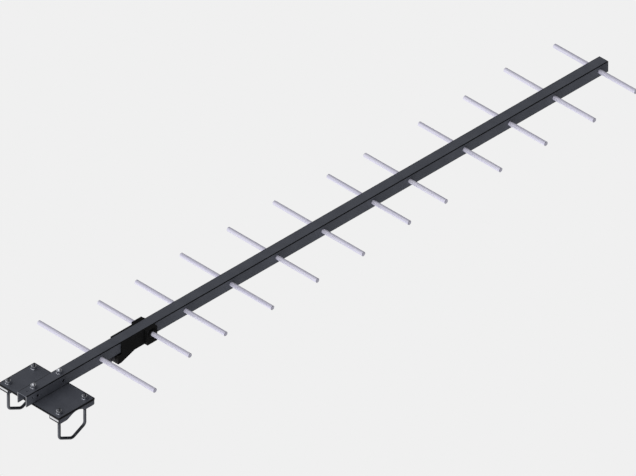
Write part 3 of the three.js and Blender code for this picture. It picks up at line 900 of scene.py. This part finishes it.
bush_plastic = black_plastic("bush plastic", 2200.0, 19)
sleeve_radius = 7.2
collar_radius = 8.8
collar_height = 1.4
for side in ("left", "right"):
    name = f"dipole_bush_{side}"
    low, high = span(name)
    centre = middle(name)
    inner, outer = (low[1], high[1]) if side == "left" else (high[1], low[1])
    out = math.copysign(1, outer - inner)
    bore = rod_radius + 0.08
    profile = [
        (bore, inner), (sleeve_radius, inner), (sleeve_radius, outer - out * collar_height),
        (collar_radius, outer - out * collar_height), (collar_radius, outer - out * 0.55),
        (8.65, outer - out * 0.2), (8.25, outer), (bore + 0.5, outer), (bore, outer - out * 0.5),
    ]
    bush = turned(name, "Y", centre[0], centre[2], [radius for radius, along in profile],
                  [along for radius, along in profile], wrap_rows=True)
    stand_for(name, bush, bush_plastic)

# ---- Feed housing ----
# Two moulded black shells that close under the boom. Each has a side wall against the boom, half
# of the trough below it and a square boss about the dipole, and screws pull the two together.

housing_plastic = black_plastic("housing plastic", 1300.0, 15)
housing_low, housing_high = span("feed_housing_left")
housing_wall = 2.0
housing_split = 0.1
housing_outer_y = 15.7
boss_half = 14.0
boss_outer_y = 22.0
boss_corner = 1.5
boom_gap = 0.15
rear_depth, board_depth, front_depth = 33.5, 20.7, 22.7
post_radius = 3.2
head_pocket_radius = 3.2
screw_bore_radius = 1.6
connector_hole_radius = 6.75
groove_outer, groove_inner, groove_floor_y = 11.8, 10.2, 21.3
rear_x = housing_low[0]
front_x = housing_high[0]


def trough_outline(inset):
    """The trough's side view: deep at the rear for the connector, a slope up to the board, and a
    shallow box under the dipole. The inset is the wall's thickness, for the space inside."""
    return np.array([
        (rear_x + inset, boom_low[2]),
        (rear_x + inset, boom_z - rear_depth + inset),
        (rear_x + 9, boom_z - rear_depth + inset),
        (rear_x + 46, boom_z - board_depth + inset),
        (rear_x + 73, boom_z - board_depth + inset),
        (rear_x + 78, boom_z - front_depth + inset),
        (front_x - inset, boom_z - front_depth + inset),
        (front_x - inset, boom_low[2]),
    ])


wall_outline = np.array([
    (rear_x + 10, boom_low[2] - 4), (front_x, boom_low[2] - 4),
    (front_x, boom_high[2]), (rear_x + 10, boom_high[2]),
])
connector_z = middle("connector_body")[2]
screw_places = [(middle(f"housing_screw_{end}")[0], middle(f"housing_screw_{end}")[2])
                for end in ("rear", "front")]


def housing_shell(sign):
    """One shell, built up as it is moulded: the trough, hollowed, then the side wall, the boss
    and the screw posts joined on, and the boom's space and the round holes cut out."""
    inner_y = housing_outer_y - housing_wall
    shell = drawn_out(trough_outline(0), sign * housing_split, sign * housing_outer_y, "Y")
    hollow = drawn_out(trough_outline(housing_wall), -sign * 1.0, sign * inner_y, "Y")
    shell = combined(shell, [hollow], "DIFFERENCE")
    wall = drawn_out(wall_outline, sign * (boom_half + boom_gap), sign * housing_outer_y, "Y")
    shell = combined(shell, [wall], "UNION")
    boss_middle = [dipole_x - 0.05, (boom_high[2] + boom_z - front_depth) / 2]
    boss_half_height = (boom_high[2] - boom_z + 22.5) / 2
    boss = drawn_out(
        rounded_rectangle(boss_half - 0.05, boss_half_height, boss_corner) + boss_middle,
        sign * (boom_half + boom_gap), sign * boss_outer_y, "Y",
    )
    shell = combined(shell, [boss], "UNION")
    posts = [drawn_out(circle(x, z, post_radius), sign * housing_split, sign * (inner_y + 0.5),
                       "Y") for x, z in screw_places]
    shell = combined(shell, posts, "UNION")
    side_y, under_z, over_z = boom_half + boom_gap, boom_low[2] - boom_gap, boom_high[2] + 20
    boom_space = drawn_out(np.array([
        (-side_y, under_z), (side_y, under_z), (side_y, over_z), (-side_y, over_z),
    ]), rear_x - 5, front_x + 5, "X")
    shell = combined(shell, [boom_space], "DIFFERENCE")
    reach = housing_outer_y + 1 if sign > 0 else inner_y
    cuts = [drawn_out(circle(x, z, screw_bore_radius, 24), -sign * 1.0, sign * reach, "Y")
            for x, z in screw_places]
    if sign > 0:
        x, z = screw_places[1]
        cuts.append(drawn_out(circle(x, z, head_pocket_radius, 36), housing_outer_y,
                              boss_outer_y + 1, "Y"))
    cuts.append(drawn_out(circle(0, connector_z, connector_hole_radius), rear_x - 1, rear_x + 3,
                          "X"))
    cuts.append(drawn_out(circle(dipole_x, boom_z, feed_hole_radius, 64), sign * 10, sign * 23,
                          "Y"))
    shell = combined(shell, cuts, "DIFFERENCE")
    groove = drawn_out(circle(dipole_x, boom_z, groove_outer, 72), sign * groove_floor_y,
                       sign * 23, "Y")
    island = drawn_out(circle(dipole_x, boom_z, groove_inner, 72), sign * 20.0, sign * 24, "Y")
    return combined(shell, [combined(groove, [island], "DIFFERENCE")], "DIFFERENCE")


for side, sign in (("left", 1), ("right", -1)):
    name = f"feed_housing_{side}"
    shell = stand_for(name, housing_shell(sign), housing_plastic)
    ease_edges(shell, 0.5, 3)

for end, (x, z) in zip(("rear", "front"), screw_places):
    name = f"housing_screw_{end}"
    low, high = span(name)
    screw = pan_screw(name, "Y", x, z, low[1], high[1],
                      head_radius=2.9, head_height=1.8, shank=1.4)
    stand_for(name, screw, nut_steel)

# ---- Connector ----
# Nickel-plated brass coaxial socket: a threaded barrel, a neck and a hexagon flange in front of
# the housing, a rubber gasket behind it, a white insulator and a gilt contact in the bore.

connector_low = span("connector_body")[0]
socket_bore = 4.4
barrel_radius = 7.95


def threaded_barrel(name):
    """The socket's body: the bore, a chamfered mouth, a fine thread along the barrel, then the
    neck, the hexagon flange and the tail in the housing."""
    sides = 72
    ones = np.ones(sides)
    pitch = 1.058
    x = np.arange(1.6, 12.2, pitch / 8)[:, None]
    angle = np.arange(sides)[None, :] * 2 * np.pi / sides
    barrel = barrel_radius - 0.5 * thread_cut(x / pitch - angle / (2 * np.pi))
    flange = np.minimum(hexagon_radius(15.4, sides), 8.6)
    mouth = [(socket_bore * ones, 0.4), (4.8 * ones, 0.0), (7.1 * ones, 0.0),
             (barrel_radius * ones, 0.9)]
    tail = [(barrel_radius * ones, 12.5), (7.7 * ones, 12.7), (6.6 * ones, 12.7),
            (6.6 * ones, 16.3), (7.7 * ones, 16.3), (flange, 16.7), (flange, 19.3),
            (5.6 * ones, 19.3), (5.6 * ones, 25.0), (socket_bore * ones, 25.0)]
    radius = np.vstack([[r for r, a in mouth], barrel, [r for r, a in tail]])
    along = np.vstack([[a * ones for r, a in mouth], x * ones, [a * ones for r, a in tail]])
    return turned(name, "X", 0, connector_z, radius, connector_low[0] + along, sides,
                  wrap_rows=True)


socket_metal = plated_steel("dark nickel", shade(40, 40, 43), shade(62, 62, 66), 0.26)
stand_for("connector_body", threaded_barrel("connector_body"), socket_metal)


def plain_ring(name, inner, outer, ease):
    """A turned ring about the connector's axis, with eased corners."""
    low, high = span(name)
    return turned(name, "X", 0, connector_z,
                  [inner, inner + ease, outer - ease, outer, outer, outer - ease,
                   inner + ease, inner],
                  [low[0] + ease, low[0], low[0], low[0] + ease, high[0] - ease, high[0],
                   high[0], high[0] - ease], wrap_rows=True)


def matt_finish(name, dark, light, grain_scale, roughness, relief):
    """A plain moulded or etched surface: a grain, a slow change of tone between two colours."""
    material, tree, shader, place = new_material(name)
    grain = grained(tree, place, grain_scale)
    feed(tree, shader, Base_Color=mixed(tree, grain.outputs["Tone"], dark, light),
         Roughness=ranged(tree, grain.outputs["Height"], 0.3, 0.7, roughness - 0.06,
                          roughness + 0.06),
         Normal=bumped(tree, grain.outputs["Height"], relief, 0.5))
    return material


gasket_rubber = matt_finish("gasket rubber", shade(22, 22, 22), shade(34, 34, 33), 1800.0,
                            0.85, 0.00006)
insulator_white = matt_finish("insulator white", shade(228, 226, 218), shade(244, 243, 238),
                              900.0, 0.45, 0.00002)
stand_for("connector_gasket", plain_ring("connector_gasket", 6.8, 8.5, 0.2), gasket_rubber)
stand_for("connector_insulator", plain_ring("connector_insulator", 1.7, 4.1, 0.2),
          insulator_white)


def metal_finish(name, dark, light, roughness):
    """Bright sheet or turned metal: streaks along it and a slow change of tone."""
    material, tree, shader, place = new_material(name)
    lines = lined(tree, place, (0.06, 1.0, 1.0), 1400.0)
    feed(tree, shader, Base_Color=mixed(tree, lines.outputs["Streaks"], dark, light),
         Roughness=ranged(tree, lines.outputs["Lines"], 0.3, 0.7, roughness - 0.06,
                          roughness + 0.08),
         Metallic=1.0, Normal=bumped(tree, lines.outputs["Lines"], 0.00002, 0.4))
    return material


def finish_node(node, material):
    """Gives a CAD node whose shape stays its finished material."""
    shown = bpy.data.objects[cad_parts[node].name]
    for index in range(len(shown.material_slots)):
        shown.material_slots[index].material = material


finish_node("connector_contact",
            metal_finish("contact gilt", shade(190, 150, 70), shade(226, 190, 104), 0.28))

# ---- Feed board and straps ----
# A glass-epoxy matching board in the trough, green with tinned pads, and two copper straps that
# carry the feed from it up to the dipole's halves.


def board_laminate():
    """Green lacquer over a woven glass core: the crossed threads are two waves at right angles,
    and the tinned tracks are bands across the board."""
    material, tree, shader, place = new_material("board laminate")
    across = add(tree, "ShaderNodeTexWave", {"Vector": place, "Scale": 900.0, "Distortion": 0.4},
                 bands_direction="X")
    along = add(tree, "ShaderNodeTexWave", {"Vector": place, "Scale": 900.0, "Distortion": 0.4},
                bands_direction="Y")
    weave = reckon(tree, "MULTIPLY", across.outputs["Fac"], along.outputs["Fac"])
    y = add(tree, "ShaderNodeSeparateXYZ", {0: place}).outputs["Y"]
    from_track = reckon(tree, "ABSOLUTE", reckon(tree, "SUBTRACT",
                                                 reckon(tree, "ABSOLUTE", y), 7.5 * MM))
    track = reckon(tree, "LESS_THAN", from_track, 1.4 * MM)
    lacquer = mixed(tree, weave, shade(30, 78, 46), shade(44, 98, 58))
    colour = mixed(tree, track, lacquer, shade(184, 186, 190))
    feed(tree, shader, Base_Color=colour, Metallic=track, Roughness=0.42,
         Normal=bumped(tree, weave, 0.00003, 0.4))
    return material


finish_node("feed_board", board_laminate())
strap_copper = metal_finish("strap copper", shade(170, 100, 62), shade(212, 138, 92), 0.32)
finish_node("feed_strap_left", strap_copper)
finish_node("feed_strap_right", strap_copper)

# ---- Studio ----
# A pale floor far below the antenna, a soft light from the rear left and a soft sky that is
# brighter at that side, and a long lens that looks down along the cube's diagonal.

pale = shade(240, 240, 240)[0]
floor_z = -2.0
floor_half = 150.0
floor_corners = [(-floor_half, -floor_half, floor_z), (floor_half, -floor_half, floor_z),
                 (floor_half, floor_half, floor_z), (-floor_half, floor_half, floor_z)]
floor_mesh = bpy.data.meshes.new("floor")
floor_mesh.from_pydata(floor_corners, [], [(0, 1, 2, 3)])
floor = bpy.data.objects.new("floor", floor_mesh)
bpy.context.scene.collection.objects.link(floor)
floor_material, floor_tree, floor_shader = new_material("floor")[:3]
feed(floor_tree, floor_shader, Base_Color=(0.0, 0.0, 0.0, 1.0), Roughness=1.0,
     Specular_IOR_Level=0.0, Emission_Color=(1.0, 1.0, 1.0, 1.0), Emission_Strength=pale)
floor_mesh.materials.append(floor_material)
for ray in ("diffuse", "glossy", "transmission", "shadow"):
    setattr(floor, f"visible_{ray}", False)

world = bpy.data.worlds.new("studio sky")
world.use_nodes = True
sky = world.node_tree
sky.nodes.clear()
direction = add(sky, "ShaderNodeTexCoord").outputs["Generated"]
towards_light = add(sky, "ShaderNodeVectorMath", {0: direction, 1: (-0.80, 0.42, -0.42)},
                    operation="DOT_PRODUCT").outputs["Value"]
brightness = ranged(sky, towards_light, -0.83, 1.0, 0.02, 1.32)
seen = add(sky, "ShaderNodeLightPath").outputs["Is Camera Ray"]
shown = add(sky, "ShaderNodeMix", {0: seen, 2: brightness, 3: pale}).outputs[0]
background = add(sky, "ShaderNodeBackground", {"Color": shown, "Strength": 1.0})
add(sky, "ShaderNodeOutputWorld", {"Surface": background.outputs[0]})
bpy.context.scene.world = world

sun_data = bpy.data.lights.new("soft light", "SUN")
sun_data.energy = 0.25
sun_data.angle = math.radians(40)
sun = bpy.data.objects.new("soft light", sun_data)
bpy.context.scene.collection.objects.link(sun)
light_from = np.array([-0.60, -0.10, 0.80])


def aim(thing, back):
    """Turns a light or camera so that it looks against a direction, with Z upwards."""
    back = np.asarray(back, float) / np.linalg.norm(back)
    right = np.cross([0, 0, 1], back)
    right /= np.linalg.norm(right)
    up = np.cross(back, right)
    turn = np.eye(4)
    turn[:3, 0], turn[:3, 1], turn[:3, 2] = right, up, back
    turn[:3, 3] = thing.location
    thing.matrix_world = Matrix(turn.tolist())


aim(sun, light_from)

camera_data = bpy.data.cameras.new("camera")
camera_data.lens = 1250.0
camera_data.sensor_width = 36.0
camera_data.clip_end = 400.0
camera = bpy.data.objects.new("camera", camera_data)
bpy.context.scene.collection.objects.link(camera)
view_width = 1.2555
view_target = np.array([0.7305, -0.0207, 0.0498])
view_back = np.array([-1.0, -1.0, 1.0]) / math.sqrt(3)
camera.location = view_target + view_back * view_width * camera_data.lens / camera_data.sensor_width
aim(camera, view_back)
bpy.context.scene.camera = camera
bpy.context.scene.view_settings.view_transform = "Standard"
